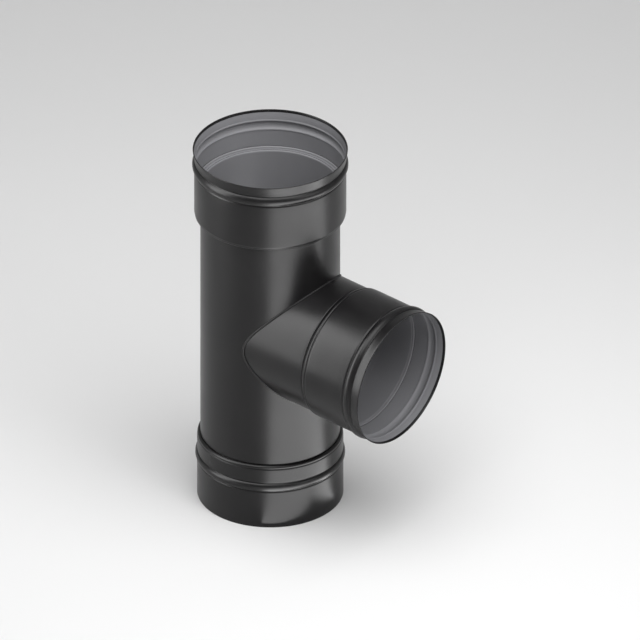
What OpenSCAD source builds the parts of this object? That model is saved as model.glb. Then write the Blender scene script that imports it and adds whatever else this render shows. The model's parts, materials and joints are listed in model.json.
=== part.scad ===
// Single-wall flue tee: a straight tube with a socket on top, a spigot below
// and a socketed branch that leaves its side and drops a little outwards.
// Frame: +Z runs up the main axis, z = 0 is the foot of the spigot, and the
// branch leaves along +X. Every length is in millimetres.

/* [Main tube] */
// Outside diameter of the main tube
tube_d = 150; // [130:1:200]
// Height from the foot of the spigot to the rim of the top socket
tee_h = 426; // [400:1:600]
// Thickness of the steel sheet of every piece
sheet = 1; // [0.6:0.1:1.5]
// Radius inside the bend where a tube's end turns out to its flange
bend_r = 1; // [0.5:0.1:2]

/* [Top socket] */
// Clearance all round between a pipe's spigot and the bore of the socket
socket_fit = 2.2; // [0.5:0.1:4]
// Length of the top socket
socket_l = 78.7; // [70:0.1:100]
// Depth from the rim to the ledge that the next pipe stops on
socket_depth = 46; // [40:1:60]
// Depth from the rim to the middle of the seal bead
socket_bead_z = 18.3; // [16:0.1:24]
// Length of the seal bead along the socket
socket_bead_l = 11.2; // [9:0.1:12]
// How far the seal bead stands out from the wall
socket_bead_h = 2.2; // [1.5:0.1:3]
// Length of the flared lip
socket_lip_l = 10.2; // [5:0.1:10.5]
// How far the lip flares out
socket_lip_out = 1.6; // [0.5:0.1:3]
// Outer radius of the bend that closes the socket on the tube
socket_bend = 2; // [1.6:0.1:5]

/* [Bottom spigot] */
// How far the wall of the spigot stands out from the tube
spigot_step = 3.4; // [2:0.1:6]
// Length of the spigot
spigot_l = 75.8; // [70:0.1:100]
// Height from the foot to the middle of the stop bead
spigot_bead_z = 49.3; // [40:0.1:56]
// Length of the stop bead along the spigot
spigot_bead_l = 10; // [8:0.1:12]
// How far the stop bead stands out from the wall
spigot_bead_h = 2; // [1.5:0.1:3]
// Outer radius of the shoulder that closes the spigot on the tube
spigot_shoulder = 3.4; // [2:0.1:8]
// How far the main tube reaches down into the spigot
tube_overlap = 9; // [5:1:15]

/* [Branch stub] */
// How much smaller the radius of the branch stub is than the main tube's
stub_inset = 2.8; // [2:0.1:15]
// Height of the point where the two axes cross, above the foot
branch_z = 216; // [205:1:230]
// Angle that the branch drops outwards, below square to the tube
branch_drop = 3; // [0:0.5:5]

/* [Branch socket] */
// How far the mouth of the branch stands off the main tube, along its axis
branch_reach = 105; // [100:1:200]
// How far the wall of the branch socket stands out from the stub
branch_step = 2.3; // [2:0.1:4]
// Length of the branch socket
branch_socket_l = 79.8; // [65:0.1:80]
// Depth from the mouth to the ledge that the side pipe stops on
branch_depth = 42; // [36:1:50]
// Depth from the mouth to the middle of the seal bead
branch_bead_z = 16.6; // [15:0.1:22]
// Length of the seal bead along the branch socket
branch_bead_l = 10.2; // [8:0.1:11]
// How far the seal bead stands out from the wall
branch_bead_h = 1.9; // [1.5:0.1:3]
// Length of the flared lip
branch_lip_l = 9.2; // [5:0.1:9.5]
// How far the lip flares out
branch_lip_out = 1.4; // [0.5:0.1:3]
// Outer radius of the shoulder that closes the branch socket on the stub
branch_shoulder = 8.5; // [3:0.1:12]

/* [Hidden] */

steel = [0.16, 0.155, 0.16];
bead_fillet = 1;
weld_leg = 2;
past = 1;
$fn = 96;

tube_r = tube_d / 2;
spigot_r = tube_r + spigot_step;
socket_bore_r = spigot_r + socket_fit;
socket_r = socket_bore_r + sheet;
stub_r = tube_r - stub_inset;
branch_socket_r = stub_r + branch_step;
branch_l = tube_r + branch_reach;

tube_foot = spigot_l - tube_overlap;
tube_l = tee_h - socket_depth - tube_foot;
stub_l = branch_l - branch_depth;

// Length along the wall of the arc of radius bend that rises from a tube by
// rise: a whole quarter turn where the bend is small, less where it is large.
function bend_run(bend, rise) = bend > rise ? sqrt(rise * (2 * bend - rise)) : bend;

// Radius of the crown of a bead of length l and height h whose feet run into
// the wall with a fillet of radius fillet.
function crown_r(l, h, fillet) = (l * l / 4 + h * h) / (2 * h) - fillet;

// Stands its children on the branch's axis, which starts on the main axis.
module on_branch() {
    translate([0, 0, branch_z]) rotate([0, 90 + branch_drop, 0]) children();
}

// Half-outline of a rolled bead on a wall of radius r, filled to the axis.
// inset moves the outline inwards, so that the sheet's inner face is the
// outer one with inset = sheet: the crown shrinks and the fillets grow.
module bead_outline(r, z, l, h, inset) {
    crown = crown_r(l, h, bead_fillet);
    mid = r + h - crown;
    difference() {
        union() {
            translate([mid, z]) circle(r = crown - inset);
            polygon([
                [mid - crown, z], [r - inset, z - l / 2], [r + bead_fillet, z - l / 2],
                [mid, z],
                [r + bead_fillet, z + l / 2], [r - inset, z + l / 2]
            ]);
        }
        for (side = [-1, 1])
            translate([r + bead_fillet, z + side * l / 2]) circle(r = bead_fillet + inset);
    }
}

// Half-outline of a socket or spigot, filled to the axis. Its open end is at
// y = 0, where a lip of length lip_l flares it out by lip_out, and it closes
// at y = l on a tube of radius seat with a bend.
module fitting_outline(r, l, seat, bend, bead, lip_l, lip_out, inset) {
    bend_y = l - bend_run(bend, r - seat);
    translate([0, -inset]) square([r - inset, bend_y + inset]);
    translate([r - bend, bend_y]) circle(r = bend - inset);
    square([r - bend, bend_y + bend - inset]);
    if (lip_l > 0)
        polygon([
            [0, -inset], [r + lip_out - inset, -inset], [r + lip_out - inset, 0],
            [r - inset, lip_l], [0, lip_l]
        ]);
    bead_outline(r, bead[0], bead[1], bead[2], inset);
}

// A socket or spigot of one sheet. bead holds the place, length and height
// of its bead. A spigot has no lip and no ledge. In a socket, a fillet weld
// runs round the wall on top of the ledge that the next pipe stops on.
module fitting(r, l, seat, bend, bead, lip_l = 0, lip_out = 0, ledge = 0) {
    wall = r - sheet;
    rotate_extrude() {
        difference() {
            intersection() {
                fitting_outline(r, l, seat, bend, bead, lip_l, lip_out, 0);
                translate([seat, 0]) square([r, l + bend]);
            }
            fitting_outline(r, l, seat, bend, bead, lip_l, lip_out, sheet);
        }
        if (ledge > 0)
            polygon([
                [wall, ledge - weld_leg], [wall + sheet / 2, ledge - weld_leg],
                [wall + sheet / 2, ledge], [wall - weld_leg, ledge]
            ]);
    }
}

// A tube of outside radius r whose far end turns out to a flat flange of
// radius flange_r.
module flanged_tube(r, l, flange_r) {
    turn = [r + bend_r, l - sheet - bend_r];
    rotate_extrude() difference() {
        union() {
            translate([r - sheet, 0]) square([sheet, l]);
            translate([r - sheet, turn[1]]) square([sheet + bend_r, l - turn[1]]);
            translate([r - sheet, l - sheet]) square([flange_r - r + sheet, sheet]);
        }
        translate(turn) circle(r = bend_r);
        difference() {
            translate([r - sheet - past, turn[1]])
                square([sheet + bend_r + past, sheet + bend_r + past]);
            translate(turn) circle(r = bend_r + sheet);
            translate([turn[0], turn[1]]) square([past, sheet + bend_r]);
        }
    }
}

module main_tube() {
    color(steel) difference() {
        translate([0, 0, tube_foot]) flanged_tube(tube_r, tube_l, socket_bore_r);
        on_branch() cylinder(r = stub_r - sheet, h = tube_d);
    }
}

module top_socket() {
    color(steel) translate([0, 0, tee_h]) mirror([0, 0, 1])
        fitting(socket_r, socket_l, tube_r, socket_bend,
            [socket_bead_z, socket_bead_l, socket_bead_h], socket_lip_l, socket_lip_out,
            socket_depth);
}

module bottom_spigot() {
    color(steel)
        fitting(spigot_r, spigot_l, tube_r, spigot_shoulder,
            [spigot_bead_z, spigot_bead_l, spigot_bead_h]);
}

module branch_stub() {
    color(steel) difference() {
        on_branch() flanged_tube(stub_r, stub_l, branch_socket_r - sheet);
        cylinder(r = tube_r, h = tee_h);
    }
}

module branch_socket() {
    color(steel) on_branch() translate([0, 0, branch_l]) mirror([0, 0, 1])
        fitting(branch_socket_r, branch_socket_l, stub_r, branch_shoulder,
            [branch_bead_z, branch_bead_l, branch_bead_h], branch_lip_l, branch_lip_out,
            branch_depth);
}

main_tube();
top_socket();
bottom_spigot();
branch_stub();
branch_socket();
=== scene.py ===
# %% [markdown]
# # A black flue tee
# A flue tee joins a side pipe to a straight run of stove flue. It is made of thin steel
# sheet: rolled tubes and rolled rings, welded together and coated with black stove enamel.
# The solids fix every place and size. This notebook dresses them: each piece is worked out
# again as a fine, smooth surface with the rounded sheet edges, welds and coating that the
# eye looks for on bare metalwork. We load the solids first.

# %% Load the imported model
import json
import math

import bmesh
import bpy
import numpy as np
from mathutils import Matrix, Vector


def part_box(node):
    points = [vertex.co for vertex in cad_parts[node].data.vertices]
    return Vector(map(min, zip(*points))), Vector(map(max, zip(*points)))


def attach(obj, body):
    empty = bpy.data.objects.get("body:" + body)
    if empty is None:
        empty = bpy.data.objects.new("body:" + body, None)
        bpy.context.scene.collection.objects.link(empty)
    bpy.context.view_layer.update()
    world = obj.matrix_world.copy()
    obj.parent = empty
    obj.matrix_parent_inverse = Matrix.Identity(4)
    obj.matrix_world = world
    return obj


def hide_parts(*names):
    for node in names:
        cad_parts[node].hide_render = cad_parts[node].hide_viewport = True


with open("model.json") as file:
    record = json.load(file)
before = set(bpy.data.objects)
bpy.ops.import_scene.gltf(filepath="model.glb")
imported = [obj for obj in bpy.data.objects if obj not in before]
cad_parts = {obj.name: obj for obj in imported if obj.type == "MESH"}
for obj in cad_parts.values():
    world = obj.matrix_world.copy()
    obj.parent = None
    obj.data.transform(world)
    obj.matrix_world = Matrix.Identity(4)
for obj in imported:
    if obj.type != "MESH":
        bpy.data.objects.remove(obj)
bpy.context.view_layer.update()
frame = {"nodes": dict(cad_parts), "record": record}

mounts = {mount["name"]: mount for mount in frame["record"]["mounts"]}
print("solids:", sorted(frame["nodes"]))

# %% [markdown]
# ## Sizes
# Radii that other pipes depend on come from the mounts of the record, and heights come from
# the boxes of the solids. The rest are the sizes of the sheet work itself, in millimetres,
# as a maker would read them off a drawing. `mm` turns them to metres.

# %% Name the sizes
def mm(length):
    """A length in millimetres, in metres."""
    return length * 0.001


sheet = mm(1)
tee_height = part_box("top_socket")[1].z
top_bore = mm(mounts["top_socket"]["dims"]["r_mm"])
branch_bore = mm(mounts["branch_socket"]["dims"]["r_mm"])
spigot_radius = mm(mounts["bottom_spigot"]["dims"]["r_mm"])
spigot_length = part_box("bottom_spigot")[1].z
top_socket_length = mm(78.7)
branch_socket_length = mm(79.8)
tube_foot, tube_top = (corner.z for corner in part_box("main_tube"))
tube_radius = mm(75)
stub_radius = mm(72.2)
branch_axis = Vector(mounts["branch_socket"]["axis"]).normalized()
branch_root = Vector((0, 0, mm(216)))
branch_length = mm(180)
branch_ledge_depth = mm(42)
bend_radius = mm(1)
bead_fillet = mm(1)
weld_radius = mm(1.3)
weld_leg = mm(2)
vertical = Vector((0, 0, 1))
print("height", round(tee_height, 4), "m, branch axis", [round(c, 4) for c in branch_axis])

# %% [markdown]
# ## The camera
# The picture is a parallel projection, so the camera is orthographic: edges that run the
# same way stay parallel. It looks down at 30.9 degrees from a point 38.5 degrees round from
# the side view. One pixel is 1.0714 mm. The two pixel places say where the main axis stands
# in the 640 pixel frame and on which row the middle of the foot lies.

# %% Set up the camera
frame_pixels = 640
pixel = mm(1.0714)
camera_azimuth = math.radians(38.5)
camera_elevation = math.radians(30.9)
axis_column = 270.25
foot_row = 490.0
camera_distance = 1.3


def direction(azimuth, elevation):
    """Unit vector towards a place round the object: azimuth 0 is -Y and 90 degrees is +X."""
    return Vector((
        math.sin(azimuth) * math.cos(elevation),
        -math.cos(azimuth) * math.cos(elevation),
        math.sin(elevation),
    ))


back = direction(camera_azimuth, camera_elevation)
turn = (-back).to_track_quat("-Z", "Y")
right = turn @ Vector((1, 0, 0))
up = turn @ Vector((0, 1, 0))
aim = right * (frame_pixels / 2 - axis_column) * pixel + up * (foot_row - frame_pixels / 2) * pixel
camera = bpy.data.objects.new("camera", bpy.data.cameras.new("camera"))
camera.data.type = "ORTHO"
camera.data.ortho_scale = frame_pixels * pixel
camera.rotation_mode = "QUATERNION"
camera.rotation_quaternion = turn
camera.location = aim + back * camera_distance
bpy.context.scene.collection.objects.link(camera)
bpy.context.scene.camera = camera
print("camera aims at", [round(c, 3) for c in aim])

# %% [markdown]
# ## Surfaces from grids
# Every piece here is a sheet that runs round an axis, so its section is a closed outline and
# the piece is that outline carried round. We keep the points as an array of shape
# (around, along, 3) and join neighbours to quads. `build` turns such grids to one mesh, merges
# the points where two grids meet, and makes the faces point outwards.

# %% Turn grids into meshes
around = 240
print("every round piece has", around, "steps round its axis")


def grid_faces(rows, columns, wrap_rows=True, wrap_columns=True):
    """Quads of a grid of points numbered row by row, each as the four corners in order."""
    row = np.arange(rows if wrap_rows else rows - 1)[:, None]
    column = np.arange(columns if wrap_columns else columns - 1)[None, :]
    next_row, next_column = (row + 1) % rows, (column + 1) % columns
    quads = np.stack([
        row * columns + column, next_row * columns + column,
        next_row * columns + next_column, row * columns + next_column,
    ], -1)
    return quads.reshape(-1, 4)


def build(name, parts, merge=0.0):
    """One mesh object from parts, a list of (points, quads). merge joins points that coincide."""
    points, quads, count = [], [], 0
    for part_points, part_quads in parts:
        flat = np.asarray(part_points, float).reshape(-1, 3)
        points.append(flat)
        quads.append(part_quads + count)
        count += len(flat)
    mesh = bpy.data.meshes.new(name)
    mesh.from_pydata(np.concatenate(points).tolist(), [], np.concatenate(quads).tolist())
    shape = bmesh.new()
    shape.from_mesh(mesh)
    if merge:
        bmesh.ops.remove_doubles(shape, verts=shape.verts, dist=merge)
    loose = [v for v in shape.verts if not v.link_faces]
    bmesh.ops.delete(shape, geom=loose, context="VERTS")
    bmesh.ops.recalc_face_normals(shape, faces=shape.faces)
    shape.to_mesh(mesh)
    shape.free()
    mesh.shade_smooth()
    obj = bpy.data.objects.new(name, mesh)
    bpy.context.scene.collection.objects.link(obj)
    print(name, "has", len(mesh.vertices), "points and", len(mesh.polygons), "faces")
    return obj


def turn_about_axis(section, count=around):
    """Carries a section of (radius, height) points round the Z axis: x = r cos a, y = r sin a."""
    angle = np.arange(count) / count * 2 * np.pi
    radius, height = section[:, 0], section[:, 1]
    x = np.outer(np.cos(angle), radius)
    y = np.outer(np.sin(angle), radius)
    z = np.broadcast_to(height, x.shape)
    return np.stack([x, y, z], -1)


# %% [markdown]
# ## Sections of bent sheet
# A sheet keeps its thickness through every bend, so one line down the middle of the sheet
# says it all. The section is that line moved out and in by half the thickness along its own
# normal, and closed at both ends by a half circle: a sheared edge that the coating rounds.
# That small round edge is what draws the thin bright line along a rim.

# %% Draw sections of bent sheet
def arc(centre, radius, start, stop, steps=10):
    """Points of a circle from the angle start to stop, in degrees."""
    angle = np.radians(np.linspace(start, stop, steps + 1))
    return np.stack([centre[0] + radius * np.cos(angle), centre[1] + radius * np.sin(angle)], -1)


def line(start, stop, steps=1):
    """Points of a straight stretch, without its last point."""
    t = np.linspace(0, 1, steps + 1)[:-1, None]
    return np.asarray(start) * (1 - t) + np.asarray(stop) * t


fillet_steps, crown_steps = 6, 14


def bead(wall, middle, length, height):
    """Middle line of a rolled bead that stands out of a wall of outside radius wall.

    Two fillets of radius f run tangent into a crown of radius R, whose centre lies on the
    bead's middle: R = (length^2 / 4 + height^2) / (2 height) - f.
    """
    crown = (length**2 / 4 + height**2) / (2 * height) - bead_fillet
    centre = wall + height - crown
    slope = math.degrees(math.atan2(length / 2, wall + bead_fillet - centre))
    foot = bead_fillet + sheet / 2
    near, far = middle - length / 2, middle + length / 2
    return np.concatenate([
        arc((wall + bead_fillet, near), foot, 180, 180 - slope, fillet_steps),
        arc((centre, middle), crown - sheet / 2, -slope, slope, crown_steps),
        arc((wall + bead_fillet, far), foot, 180 + slope, 180, fillet_steps),
    ])


least_step = 1e-7


def without_repeats(points):
    """Drops each point that coincides with the one before it."""
    step = np.linalg.norm(np.diff(points, axis=0), axis=1)
    return points[np.concatenate([[True], step > least_step])]


def with_normals(middle_line):
    """The middle line without repeats, its unit tangents and its unit normals."""
    path = without_repeats(middle_line)
    tangent = np.gradient(path, axis=0)
    tangent /= np.linalg.norm(tangent, axis=1)[:, None]
    return path, tangent, np.stack([tangent[:, 1], -tangent[:, 0]], -1)


groove_points = 17
groove_reach, clear_reach = 2.2, 2.3


def scored(line_points, places, depth, width):
    """Presses grooves into a (radius, z) line: p - g exp(-((s - s0) / w)^2) N.

    g is the depth, w the width, s the length run along the line, s0 its value at the z of a
    place, and N the unit normal. Each groove gets evenly spaced points out to groove_reach
    widths from its middle. The line's other points are kept only beyond clear_reach widths.
    """
    path = without_repeats(line_points)
    run = np.concatenate([[0], np.cumsum(np.linalg.norm(np.diff(path, axis=0), axis=1))])
    middles = np.interp(places, path[:, 1], run)
    offsets = width * np.linspace(-groove_reach, groove_reach, groove_points)
    across = np.add.outer(middles, offsets).ravel()
    clear = abs(np.subtract.outer(run, middles)).min(1) > clear_reach * width
    clear[[0, -1]] = True
    stops = np.union1d(run[clear], across[(across > 0) & (across < run[-1])])
    path = np.stack([np.interp(stops, run, path[:, 0]), np.interp(stops, run, path[:, 1])], -1)
    dip = sum(np.exp(-(((stops - middle) / width) ** 2)) for middle in middles)
    return path - depth * dip[:, None] * with_normals(path)[2]


cap_points = 5


def sheet_section(middle_line):
    """Closed outline of a sheet about its middle line: M + t/2 N, then M - t/2 N back.

    Each end is closed by the cap_points inner points of a half circle.
    """
    path, tangent, normal = with_normals(middle_line)
    half = sheet / 2
    turns = np.radians(np.linspace(0, 180, cap_points + 2)[1:-1])[:, None]
    end_cap = path[-1] + half * (np.cos(turns) * normal[-1] + np.sin(turns) * tangent[-1])
    start_cap = path[0] - half * (np.cos(turns) * normal[0] + np.sin(turns) * tangent[0])
    return np.concatenate([path + half * normal, end_cap, (path - half * normal)[::-1], start_cap])


print("a bead takes", len(bead(spigot_radius, 0, mm(10), mm(2))), "points of the line")

# %% [markdown]
# ## The rings: two sockets and a spigot
# Each ring is rolled from one strip: a flared lip, a bead pressed out by a pair of rollers,
# a plain wall, and an edge turned in onto the tube. The shoulders of the rollers press a fine
# groove beside the bead and before the bend, and those grooves are the dark lines round each
# ring. We draw the section from the open end inwards, with the depth below the mouth as the
# second number. The last stretch runs a hair into the tube's wall, as a weld does.

# %% Draw the ring sections
weld_bite = mm(0.3)
spray_wrap = mm(3)
groove_depth = mm(0.5)
groove_width = mm(1)
straight_steps = 4


def ring_line(bore, length, seat, bend, bead_size, lip_length=0, lip_flare=0):
    """Middle line of a ring, from its mouth at depth 0 to where it closes on the tube.

    bead_size holds the depth of the bead's middle, its length and its height. A small bend
    is a quarter turn with a flat run to the tube after it, and a large one ends where it
    meets the tube. The line has a point at spray_wrap, where the colour changes inside.
    The rollers leave a fine groove at both feet of the bead and at the start of the bend.
    """
    wall = bore + sheet
    middle = bore + sheet / 2
    rise = wall - seat
    run = math.sqrt(rise * (2 * bend - rise)) if bend > rise else bend
    bend_depth = length - run
    sweep = 90 if bend <= rise else math.degrees(math.acos((seat - weld_bite - wall + bend) / bend))
    bead_near, bead_far = bead_size[0] - bead_size[1] / 2, bead_size[0] + bead_size[1] / 2
    lip_foot = (middle, lip_length)
    wrap = spray_wrap / max(lip_length, spray_wrap)
    wrap_line = (middle + lip_flare * (1 - wrap), spray_wrap)
    stretches = [
        line((middle + lip_flare, sheet / 2), wrap_line),
        line(wrap_line, lip_foot, straight_steps) if lip_length else [wrap_line],
        bead(wall, *bead_size),
        line((middle, bead_far), (middle, bend_depth), straight_steps),
        arc((wall - bend, bend_depth), bend - sheet / 2, 0, sweep),
    ]
    if bend <= rise:
        end_depth = length - sheet / 2
        stretches.append(line((wall - bend, end_depth), (seat - weld_bite, end_depth)))
        stretches.append(np.array([[seat - weld_bite + sheet / 2, end_depth]]))
    places = [bead_near, bead_far, bend_depth]
    return scored(np.concatenate(stretches), places, groove_depth, groove_width)


def fillet_section(wall, ledge, leg, bulge=0.25, steps=6):
    """Closed outline of a fillet weld in the corner of a wall and a ledge.

    Its face is a chord from wall to ledge, pushed out by bulge legs times sin(pi t).
    """
    t = np.linspace(0, 1, steps + 1)[:, None]
    face = np.array([wall, ledge - leg]) * (1 - t) + np.array([wall - leg, ledge]) * t
    push = bulge * leg * np.sin(np.pi * t) * np.array([-1, -1]) / math.sqrt(2)
    return np.concatenate([face + push, [[wall + sheet / 3, ledge + sheet / 3]]])


top_socket_line = ring_line(
    top_bore, top_socket_length, tube_radius, bend=mm(2),
    bead_size=(mm(18.3), mm(11.2), mm(2.2)), lip_length=mm(10.2), lip_flare=mm(1.6),
)
spigot_line = ring_line(
    spigot_radius - sheet, spigot_length, tube_radius, bend=mm(3.4),
    bead_size=(mm(49.3), mm(10), mm(2)),
)
branch_socket_line = ring_line(
    branch_bore, branch_socket_length, stub_radius, bend=mm(8.5),
    bead_size=(mm(16.6), mm(10.2), mm(1.9)), lip_length=mm(9.2), lip_flare=mm(1.4),
)
top_ledge = fillet_section(top_bore, tee_height - tube_top, weld_leg)
branch_ledge = fillet_section(branch_bore, branch_ledge_depth, weld_leg)
print("section points:", len(top_socket_line), len(spigot_line), len(branch_socket_line))

# %% [markdown]
# The sections stand on three axes. The spigot's depth is already its height. The top
# socket's depth runs down from the rim, and the branch socket's runs back from its mouth
# along the branch, which we reach with one rotation.

# %% Make the rings
branch_turn = vertical.rotation_difference(branch_axis).to_matrix()


def on_branch(points):
    """Moves points from an upright axis onto the branch's axis: p = root + R q."""
    return points @ np.array(branch_turn).T + np.array(branch_root)


def flipped(section, mouth):
    """A section whose depth is measured down from the height of the mouth."""
    return section * [1, -1] + [0, mouth]


def ring(name, sections, place=lambda points: points):
    """A ring of one or more closed sections, carried round and put in place."""
    parts = []
    for section in sections:
        points = turn_about_axis(section)
        parts.append((place(points), grid_faces(around, len(section))))
    return build(name, parts)


top_socket = ring("socket_ring", [
    flipped(sheet_section(top_socket_line), tee_height), flipped(top_ledge, tee_height)
])
spigot = ring("spigot_ring", [sheet_section(spigot_line)])
branch_socket = ring("branch_ring", [
    flipped(sheet_section(branch_socket_line), branch_length),
    flipped(branch_ledge, branch_length),
], on_branch)

# %% [markdown]
# ## The saddle
# The hard part of a tee is the line where the branch meets the tube. A point of the branch at
# the angle p round its axis runs along the branch until it is as far from the main axis as
# the tube's wall. Put into the equation of the tube that is a quadratic in the distance run,
# and its larger root is the answer. One function gives the line for any pair of radii, so the
# same code cuts the hole, shapes the end of the stub and leads the weld.

# %% Work out the saddle line
def branch_points(angle, radius, run):
    """Points of the branch at an angle, radius and distance along its axis."""
    return on_branch(np.stack([radius * np.cos(angle), radius * np.sin(angle), run], -1))


def saddle_run(angle, branch_r, tube_r):
    """Distance along the branch at which a line of the branch meets the tube of radius tube_r.

    With start s and direction d seen from above, |s + l d|^2 = tube_r^2. That is
    a l^2 + 2 b l + c = 0, and l is its larger root.
    """
    start = branch_points(angle, branch_r, np.zeros_like(angle))[:, :2]
    step = np.array(branch_axis)[:2]
    a = step @ step
    b = start @ step
    c = (start**2).sum(1) - tube_r**2
    return (-b + np.sqrt(b**2 - a * c)) / a


full_turn = np.arange(around) / around * 2 * np.pi
outer_saddle = branch_points(full_turn, stub_radius, saddle_run(full_turn, stub_radius, tube_radius))
print("saddle spans", np.ptp(outer_saddle, axis=0).round(4), "m")

# %% [markdown]
# The stub is a tube with one straight end and one saddle end. Its grid has the angle round
# the branch one way and the section the other. Each point of the section has a run of its
# own, and the ones on the plain wall are spread evenly from the saddle on, so the rows bend
# gradually from the saddle's curve to a flat circle. Where the ring closes on the stub the
# wall has a groove of its own, which leaves an open, dark joint beside the edge.

# %% Make the branch stub
bend_steps = 8
run_up = mm(1)


def flange_line(radius, top, flange_radius):
    """Middle line of a tube's end that bends out to a flat flange, from the wall to the rim."""
    middle = radius - sheet / 2
    turn_centre = (radius + bend_radius, top - sheet - bend_radius)
    bend = arc(turn_centre, bend_radius + sheet / 2, 180, 90, bend_steps)
    rim = (flange_radius, top - sheet / 2)
    return np.concatenate([line((middle, turn_centre[1] - run_up), bend[0]), bend, [rim]])


def flange_runs(radius, top, flange_radius):
    """A flanged end's section in three runs of points: its outside, its rim and its inside."""
    section = sheet_section(flange_line(radius, top, flange_radius))
    side = len(section) // 2 - cap_points
    return np.split(section[:-cap_points], [side, side + cap_points])


stub_top = branch_length - branch_ledge_depth
stub_outside, stub_rim, stub_inside = flange_runs(stub_radius, stub_top, branch_bore)
joint_depth = mm(0.55)
joint_width = mm(0.6)
joint_margin = mm(6)
branch_joint = branch_length - branch_socket_length
straight = np.array([[stub_radius, branch_joint - joint_margin], stub_outside[0]])
stub_outside = np.concatenate([
    scored(straight, [branch_joint], joint_depth, joint_width)[:-1], stub_outside
])
wall_rows = 24
row_share = np.linspace(0, 1, wall_rows + 1)[:-1]


def wall_grid(radius, join_run):
    """Rows of the wall from the saddle to join_run: run = saddle (1 - t) + join t."""
    saddle = saddle_run(full_turn, radius, tube_radius)
    runs = np.outer(saddle, 1 - row_share) + join_run * row_share
    return branch_points(np.broadcast_to(full_turn[:, None], runs.shape), radius, runs)


outside_wall = wall_grid(stub_radius, stub_outside[0, 1])
inside_wall = wall_grid(stub_radius - sheet, stub_inside[-1, 1])[:, ::-1]
flange_grid = on_branch(turn_about_axis(np.concatenate([stub_outside, stub_rim, stub_inside])))
stub_grid = np.concatenate([outside_wall, flange_grid, inside_wall], axis=1)
stub = build("branch_pipe", [(stub_grid, grid_faces(around, stub_grid.shape[1]))])

# %% [markdown]
# ## The main tube
# The tube's wall has a hole with a saddle's shape. We cut a window of half a turn out of the
# wall and fill it with a patch: one edge of the patch is the window's frame, the other is the
# hole, and the points between lie on straight lines from one to the other in the unrolled
# wall, the way a pattern is drawn on flat sheet before it is rolled. Outside and inside get
# one patch each, and a strip joins them round the hole.

# %% Draw the window and the hole in the unrolled wall
quarter = around // 4
window_rows = 40
room_below, room_above = mm(22), mm(16)
window_low = branch_root.z - stub_radius - room_below
window_high = branch_root.z + stub_radius + room_above
window_heights = np.linspace(window_low, window_high, window_rows + 1)
window_angles = np.arange(-quarter, quarter + 1) / around * 2 * np.pi


def window_frame():
    """Points (angle, height) round the window: up the right, left along the top, and back."""
    low, high = window_heights[0], window_heights[-1]
    first, last = window_angles[0], window_angles[-1]
    right_side = np.stack([np.full(window_rows, last), window_heights[:-1]], -1)
    top = np.stack([window_angles[::-1][:-1], np.full(2 * quarter, high)], -1)
    left_side = np.stack([np.full(window_rows, first), window_heights[::-1][:-1]], -1)
    bottom = np.stack([window_angles[:-1], np.full(2 * quarter, low)], -1)
    return np.concatenate([right_side, top, left_side, bottom])


frame_line = window_frame()
window_middle = np.array([0, (window_low + window_high) / 2])
window_half = np.array([window_angles[-1], (window_high - window_low) / 2])
reach = (frame_line - window_middle) / window_half
hole_angle = np.arctan2(reach[:, 0], reach[:, 1])


def hole_line(wall_radius):
    """Points (angle, height) of the hole in the wall of that radius, one for each frame point."""
    bore = stub_radius - sheet
    # The branch's own zero angle lies at the bottom of the branch, where its x axis points
    # down, so the direction on the wall is turned by half a circle and mirrored.
    angle = np.pi - hole_angle
    points = branch_points(angle, bore, saddle_run(angle, bore, wall_radius))
    return np.stack([np.arctan2(points[:, 1], points[:, 0]), points[:, 2]], -1)


patch_rows = 26
crowding = 1.4


def patch_grid(wall_radius):
    """The patch rolled onto the wall: straight lines from the hole (t = 0) to the frame.

    A crowding above 1 draws the rows together near the hole: t = (row / rows)^crowding.
    """
    t = (np.linspace(0, 1, patch_rows + 1) ** crowding)[None, :, None]
    flat = hole_line(wall_radius)[:, None, :] * (1 - t) + frame_line[:, None, :] * t
    return np.stack([
        wall_radius * np.cos(flat[..., 0]), wall_radius * np.sin(flat[..., 0]), flat[..., 1]
    ], -1)


outer_patch, inner_patch = patch_grid(tube_radius), patch_grid(tube_radius - sheet)
hole_strip = np.stack([outer_patch[:, 0], inner_patch[:, 0]], 1)
print("the hole is", round(float(np.ptp(hole_line(tube_radius)[:, 1])) * 1000, 1), "mm high")

# %% [markdown]
# The rest of the wall is carried round like the rings. Its section has a point at each height
# of the window's frame, so that the patch and the wall share those points and merge there.
# A groove marks the joint under each of the two rings that close on the tube.

# %% Make the main tube
end_outside, end_rim, end_inside = flange_runs(tube_radius, tube_top, top_bore)
end_rows = 8
wall_heights = np.concatenate([
    np.linspace(tube_foot, window_low, end_rows + 1)[:-1], window_heights,
    np.linspace(window_high, end_outside[0, 1], end_rows + 1)[1:-1],
])
outside = scored(
    np.stack([np.full(len(wall_heights), tube_radius), wall_heights], -1),
    [spigot_length, tee_height - top_socket_length], joint_depth, joint_width,
)
inside = np.stack([np.full(len(wall_heights), tube_radius - sheet), wall_heights[::-1]], -1)
tube_section = np.concatenate([outside, end_outside, end_rim, end_inside, inside])
tube_points = turn_about_axis(tube_section)
tube_quads = grid_faces(around, len(tube_section))


def in_window(quads):
    """Which quads of the wall lie inside the window, by the middle of each."""
    middle = tube_points.reshape(-1, 3)[quads].mean(1)
    off_axis = np.hypot(middle[:, 0], middle[:, 1])
    margin = sheet / 10
    on_wall = (off_axis > tube_radius - sheet - margin) & (off_axis < tube_radius + margin)
    between = (middle[:, 2] > window_low) & (middle[:, 2] < window_high)
    return on_wall & between & (middle[:, 0] > 0)


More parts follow.
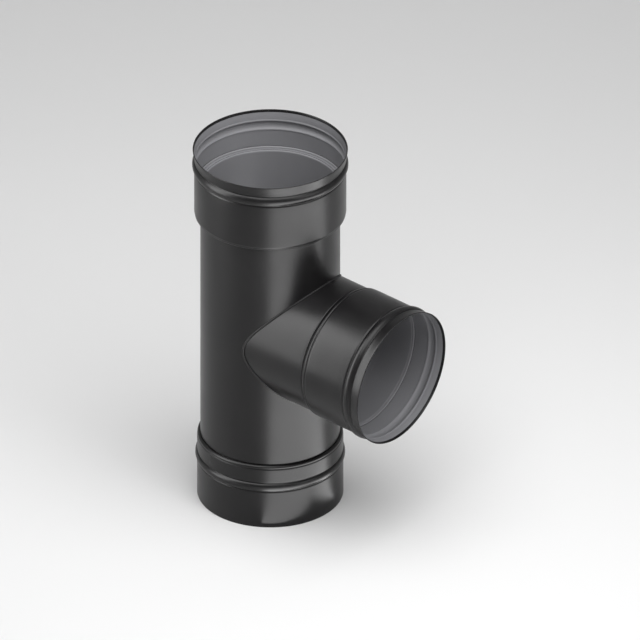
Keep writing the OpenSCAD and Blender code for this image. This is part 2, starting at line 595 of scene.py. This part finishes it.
frame_count = len(frame_line)
merge_distance = mm(0.01)
main_tube = build("flue_pipe", [
    (tube_points, tube_quads[~in_window(tube_quads)]),
    (outer_patch, grid_faces(frame_count, patch_rows + 1, wrap_columns=False)),
    (inner_patch, grid_faces(frame_count, patch_rows + 1, wrap_columns=False)),
    (hole_strip, grid_faces(frame_count, 2, wrap_columns=False)),
], merge=merge_distance)

# %% [markdown]
# ## The welds
# The stub is welded to the tube all along the saddle. A weld is a row of small frozen
# puddles, so its bead swells and thins a little along its length. We carry a small ellipse
# along the saddle line and let its size follow a sine of the distance run.

# %% Weld the saddle
ripple_spacing = mm(2.6)
ripple_swell = 0.1


def carry_ellipse(path, outward, width, height, closed, sides=10):
    """Grid of an ellipse carried along a path: p + w cos(angle) S + h sin(angle) O.

    S is square to the path and to outward, and O is square to the path and S.
    """
    ahead = np.roll(path, -1, axis=0) - np.roll(path, 1, axis=0)
    tangent = ahead if closed else np.gradient(path, axis=0)
    side = np.cross(tangent, outward)
    out = np.cross(side, tangent)
    side /= np.linalg.norm(side, axis=1)[:, None]
    out /= np.linalg.norm(out, axis=1)[:, None]
    angle = (np.arange(sides) / sides * 2 * np.pi)[None, :, None]
    across = np.reshape(width, (-1, 1, 1)) * np.cos(angle) * side[:, None]
    raised = np.reshape(height, (-1, 1, 1)) * np.sin(angle) * out[:, None]
    return path[:, None] + across + raised


weld_steps = 1600
weld_angle = np.arange(weld_steps) / weld_steps * 2 * np.pi
weld_run = saddle_run(weld_angle, stub_radius, tube_radius)
weld_path = branch_points(weld_angle, stub_radius, weld_run)
stride = np.linalg.norm(weld_path - np.roll(weld_path, 1, axis=0), axis=1)
weld_length = stride.sum()
ripples = round(weld_length / ripple_spacing)
phase = np.cumsum(stride) / weld_length * ripples * 2 * np.pi
swell = weld_radius * (1 + ripple_swell * np.sin(phase))
weld_grid = carry_ellipse(weld_path, weld_path - np.array(branch_root), swell, swell, True)
saddle_weld = build("saddle_weld", [(weld_grid, grid_faces(weld_steps, weld_grid.shape[1]))])
print("saddle weld is", round(weld_length * 1000), "mm long with", ripples, "ripples")

# %% [markdown]
# Every tube and ring starts as a flat strip that is rolled up and welded edge to edge. The
# rollers press that weld nearly flat, and only a low, narrow ridge is left under the enamel.
# On the main axis it runs down the back, away from the branch, and on the branch it runs
# along the underside. Its ends taper off to almost nothing, and a few faces close each one.

# %% Weld the long seams
seam_half_width = mm(1.1)
seam_height = mm(0.18)
tip_share = 0.01


def seam(name, outer_line, angle, place=lambda points: points):
    """A low ridge along the outside (radius, height) of a piece, at an angle round its axis.

    Its first and last rows shrink to tip_share of their size, and a fan of quads closes each.
    """
    wall = np.array([math.cos(angle), math.sin(angle), 0])
    path = outer_line[:, :1] * wall + outer_line[:, 1:] * np.array(vertical)
    taper = np.ones(len(path))
    taper[[0, -1]] = tip_share
    points = carry_ellipse(path, wall[None], seam_half_width * taper, seam_height * taper, False)
    sides = points.shape[1]
    quads = grid_faces(len(path), sides, wrap_rows=False)
    fan = np.array([[0, corner, corner + 1, corner + 2] for corner in range(1, sides - 2, 2)])
    last_row = (len(path) - 1) * sides
    return build(name, [(place(points), np.concatenate([quads, fan, fan + last_row]))])


def outside_of(middle_line, mouth=None):
    """The outer face of a ring, from its middle line, with depths turned to heights."""
    path, _, normal = with_normals(middle_line)
    outer = path + sheet / 2 * normal
    return outer if mouth is None else flipped(outer, mouth)


stub_root = saddle_run(np.zeros(1), stub_radius, tube_radius)[0]
back_of_tube, under_branch = math.pi, 0.0
upright_seams = [
    seam("tube_seam", line((tube_radius, tube_foot), (tube_radius, tube_top), steps=40),
         back_of_tube),
    seam("socket_seam", outside_of(top_socket_line, tee_height), back_of_tube),
    seam("spigot_seam", outside_of(spigot_line), back_of_tube),
]
branch_seams = [
    seam("stub_seam", line((stub_radius, stub_root), (stub_radius, stub_top), steps=12),
         under_branch, on_branch),
    seam("branch_seam", outside_of(branch_socket_line, branch_length), under_branch, on_branch),
]

# %% [markdown]
# ## The coating
# Stove enamel is a silicone paint, sprayed on and baked. It is a dielectric film, so it is
# not metallic: its black comes from the pigment and its shine from the smooth binder, with
# the usual index of refraction of 1.5. The fine matting powder in it takes off part of that
# shine, so the specular level is set below its default of 0.5. Sprayed films dry with a faint
# orange peel a couple of millimetres across, and tone and gloss drift a little over the
# surface. The gas side gets no enamel. It keeps the grey phosphate primer, a duller film with
# the same make-up, and only the mist that goes round a rim blackens its first three
# millimetres.

# %% Mix the enamel and the primer
def linear(hex_colour):
    """An sRGB hex colour as linear red, green, blue and alpha."""
    channels = [int(hex_colour[i:i + 2], 16) / 255 for i in (1, 3, 5)]
    bent = [c / 12.92 if c <= 0.04045 else ((c + 0.055) / 1.055) ** 2.4 for c in channels]
    return (*bent, 1.0)


def add(tree, kind, inputs=None, links=None, **settings):
    """Adds a node, sets its properties and inputs, and links sockets of other nodes to it."""
    new = tree.nodes.new(kind)
    for name, value in settings.items():
        setattr(new, name, value)
    for socket, value in (inputs or {}).items():
        new.inputs[socket].default_value = value
    for socket, source in (links or {}).items():
        tree.links.new(source, new.inputs[socket])
    return new


drift_size = mm(45)
peel_size = mm(2.2)
peel_depth = mm(0.06)


def stove_enamel(name, colour, light_colour, roughness):
    """A sprayed and baked film: a dielectric with drifting tone and gloss and orange peel.

    The noise that makes them drift lies mostly between 0.3 and 0.7.
    """
    material = bpy.data.materials.new(name)
    material.use_nodes = True
    tree = material.node_tree
    tree.nodes.clear()
    place = add(tree, "ShaderNodeTexCoord").outputs["Object"]
    drift = add(tree, "ShaderNodeTexNoise", {"Scale": 1 / drift_size, "Detail": 3.0},
                {"Vector": place})
    peel = add(tree, "ShaderNodeTexNoise", {"Scale": 1 / peel_size, "Detail": 2.0},
               {"Vector": place})
    tone = add(tree, "ShaderNodeMix", {"A": linear(colour), "B": linear(light_colour)},
               data_type="RGBA")
    tree.links.new(drift.outputs["Fac"], tone.inputs["Factor"])
    gloss = add(tree, "ShaderNodeMapRange", {
        "From Min": 0.3, "From Max": 0.7, "To Min": roughness - 0.03, "To Max": roughness + 0.04,
    }, {"Value": drift.outputs["Fac"]})
    bump = add(tree, "ShaderNodeBump", {"Strength": 1.0, "Distance": peel_depth},
               {"Height": peel.outputs["Fac"]})
    film = add(tree, "ShaderNodeBsdfPrincipled", {
        "Metallic": 0.0, "IOR": 1.5, "Specular IOR Level": 0.28,
    }, {
        "Base Color": tone.outputs[2], "Roughness": gloss.outputs["Result"],
        "Normal": bump.outputs["Normal"],
    })
    add(tree, "ShaderNodeOutputMaterial", links={"Surface": film.outputs["BSDF"]})
    return material


enamel = stove_enamel("black_stove_enamel", "#0e0d0e", "#151415", roughness=0.33)
primer = stove_enamel("grey_phosphate_primer", "#767679", "#7f7f82", roughness=0.5)
print("mixed", enamel.name, "and", primer.name)

# %% [markdown]
# ## Dress the solids
# Each fine piece stands for its solid and rides on the one body that the tee has.

# %% Put the pieces on the frame
inward_lean = -0.3


def coat(piece, root, axis, ledge_radius, mouth):
    """Enamel on the outside of a piece and primer on its inside.

    With n the face's normal and u the unit vector from the axis to its middle, a face is
    inside where n . u < inward_lean. A flange beyond ledge_radius lies in a socket, so it
    is inside too. The spray goes over the rim, so faces less than spray_wrap from the mouth
    are enamelled.
    """
    faces = piece.data.polygons
    middle, normal = np.empty(len(faces) * 3), np.empty(len(faces) * 3)
    faces.foreach_get("center", middle)
    faces.foreach_get("normal", normal)
    offset = middle.reshape(-1, 3) - np.array(root)
    along = offset @ np.array(axis)
    offset -= np.outer(along, np.array(axis))
    distance = np.linalg.norm(offset, axis=1)
    lean = (normal.reshape(-1, 3) * offset).sum(1) / distance
    facing_in = (lean < inward_lean) | (distance > ledge_radius)
    inside = facing_in & (abs(along - mouth) > spray_wrap)
    piece.data.materials.append(enamel)
    piece.data.materials.append(primer)
    faces.foreach_set("material_index", inside.astype(np.int32))


# A piece with no ledge or no mouth of its own gets one that lies metres away from the tee.
no_ledge, no_mouth = 1.0, 9.0
flange_foot = mm(0.5)
for piece, node, root, axis, ledge_radius, mouth in (
    (main_tube, "main_tube", Vector(), vertical, tube_radius + flange_foot, no_mouth),
    (top_socket, "top_socket", Vector(), vertical, no_ledge, tee_height),
    (spigot, "bottom_spigot", Vector(), vertical, no_ledge, 0),
    (stub, "branch_stub", branch_root, branch_axis, stub_radius + flange_foot, no_mouth),
    (branch_socket, "branch_socket", branch_root, branch_axis, no_ledge, branch_length),
):
    coat(piece, root, axis, ledge_radius, mouth)
    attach(piece, "root")
    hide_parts(node)
for weld in (saddle_weld, *upright_seams, *branch_seams):
    weld.data.materials.append(enamel)
    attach(weld, "root")
print("dressed", len(frame["nodes"]), "solids")

# %% [markdown]
# ## The studio
# The tee stands on a pale floor that curves up to a pale wall far behind it, so there is
# no line between them. It is one section carried round, like the rings: a flat stretch, a
# quarter circle and a wall.

# %% Lay the floor and the backdrop
def plain(name, colour):
    """A plain matt paint for the floor."""
    material = bpy.data.materials.new(name)
    material.use_nodes = True
    shader = material.node_tree.nodes["Principled BSDF"]
    shader.inputs["Base Color"].default_value = linear(colour)
    shader.inputs["Roughness"].default_value = 0.9
    shader.inputs["Specular IOR Level"].default_value = 0.2
    return material


floor_radius, cove_radius, wall_height = 2.4, 0.8, 2.6
floor_centre = mm(0.5)
floor_steps, floor_around = 12, 96
floor_section = np.concatenate([
    line((floor_centre, 0), (floor_radius, 0), floor_steps),
    arc((floor_radius, cove_radius), cove_radius, -90, 0, floor_steps),
    [[floor_radius + cove_radius, wall_height]],
])
floor_quads = grid_faces(floor_around, len(floor_section), wrap_columns=False)
floor = build("floor", [(turn_about_axis(floor_section, floor_around), floor_quads)])
floor.data.materials.append(plain("matt_pale_paint", "#e9e9e9"))

# %% [markdown]
# Shiny black shows little colour of its own: what the eye reads as its shape is what it
# reflects. An upright wall seen from above reflects the floor in front of it, so the long
# bright band down the tube comes from cards that lie on the floor. The branch's underside
# would mirror them too, as a hard white streak along its lip, where a studio would hang a
# black flag. Light linking does the flag's job: the floor cards show on the upright pieces
# only. The branch reflects a tall card to the left of the camera. Cards are kept out of the
# diffuse light, so they draw the highlights and leave the colours of the floor and the paint
# alone. The light itself comes from a large box overhead, a smaller one that looks into the
# branch, and the pale surroundings.

# %% Hang the lamps
tee_middle = Vector((0, 0, tee_height / 2))


def soft_box(name, width, height, radiance, spread=180):
    """A rectangular lamp that the camera doesn't see.

    Its power follows from the radiance L of its face: P = pi L width height (1 - h / tan h),
    with h half of the spread. A small spread is a grid over the lamp, which keeps its light
    off the floor round the tee.
    """
    lamp = bpy.data.lights.new(name, "AREA")
    lamp.shape = "RECTANGLE"
    lamp.size, lamp.size_y = width, height
    half = math.radians(spread) / 2
    lamp.energy = math.pi * radiance * width * height * (1 - half / math.tan(half))
    lamp.spread = 2 * half
    box = bpy.data.objects.new(name, lamp)
    box.visible_camera = False
    bpy.context.scene.collection.objects.link(box)
    print(name, "gives", round(lamp.energy, 1), "W")
    return box


def card(name, **face):
    """A soft box that only reflections show. It adds nothing to the diffuse light."""
    box = soft_box(name, **face)
    box.visible_diffuse = False
    return box


def hang(box, azimuth, elevation, distance):
    """Hangs a box that faces the tee's middle, at degrees round from the camera and up."""
    towards = direction(camera_azimuth + math.radians(azimuth), math.radians(elevation))
    box.rotation_mode = "QUATERNION"
    box.rotation_quaternion = (-towards).to_track_quat("-Z", "Y")
    box.location = tee_middle + towards * distance


upright_pieces = bpy.data.collections.new("upright_pieces")
for piece in (main_tube, top_socket, spigot, saddle_weld, *upright_seams):
    upright_pieces.objects.link(piece)
floor_card_radiance, floor_card_spread = 8.3, 155
floor_card_height = mm(4)


def floor_card(name, near, far, left, right_edge):
    """A card that lies on the floor and faces up, which a wall seen from above reflects.

    Its edges are given in metres from the main axis, near and far towards the camera, and
    left and right_edge to the camera's right. Only the upright pieces get its light, and its
    spread hides it from a view that grazes the floor.
    """
    panel = card(name, width=right_edge - left, height=far - near,
                 radiance=floor_card_radiance, spread=floor_card_spread)
    ahead = direction(camera_azimuth, 0) * (near + far) / 2
    panel.rotation_euler = (math.pi, 0, camera_azimuth)
    panel.location = ahead + right * (left + right_edge) / 2 + vertical * floor_card_height
    panel.light_linking.receiver_collection = upright_pieces


floor_card("front_card", near=0.08, far=1.05, left=-0.01, right_edge=0.85)
floor_card("right_card", near=0.03, far=0.08, left=0.085, right_edge=0.85)
hang(card("side_card", width=0.5, height=1.4, radiance=7.0),
     azimuth=-76, elevation=25, distance=0.9)
hang(soft_box("key_box", width=0.9, height=0.7, radiance=3.0, spread=80),
     azimuth=55, elevation=25, distance=1.3)
hang(soft_box("top_box", width=1.3, height=1.3, radiance=4.1),
     azimuth=10, elevation=68, distance=1.4)
world = bpy.data.worlds.new("studio")
bpy.context.scene.world = world
world.use_nodes = True
background = world.node_tree.nodes["Background"].inputs
background["Color"].default_value = linear("#ffffff")
background["Strength"].default_value = 0.45
bpy.context.scene.view_settings.view_transform = "Standard"

# %% [markdown]

# %% Finish
print("the scene is set")
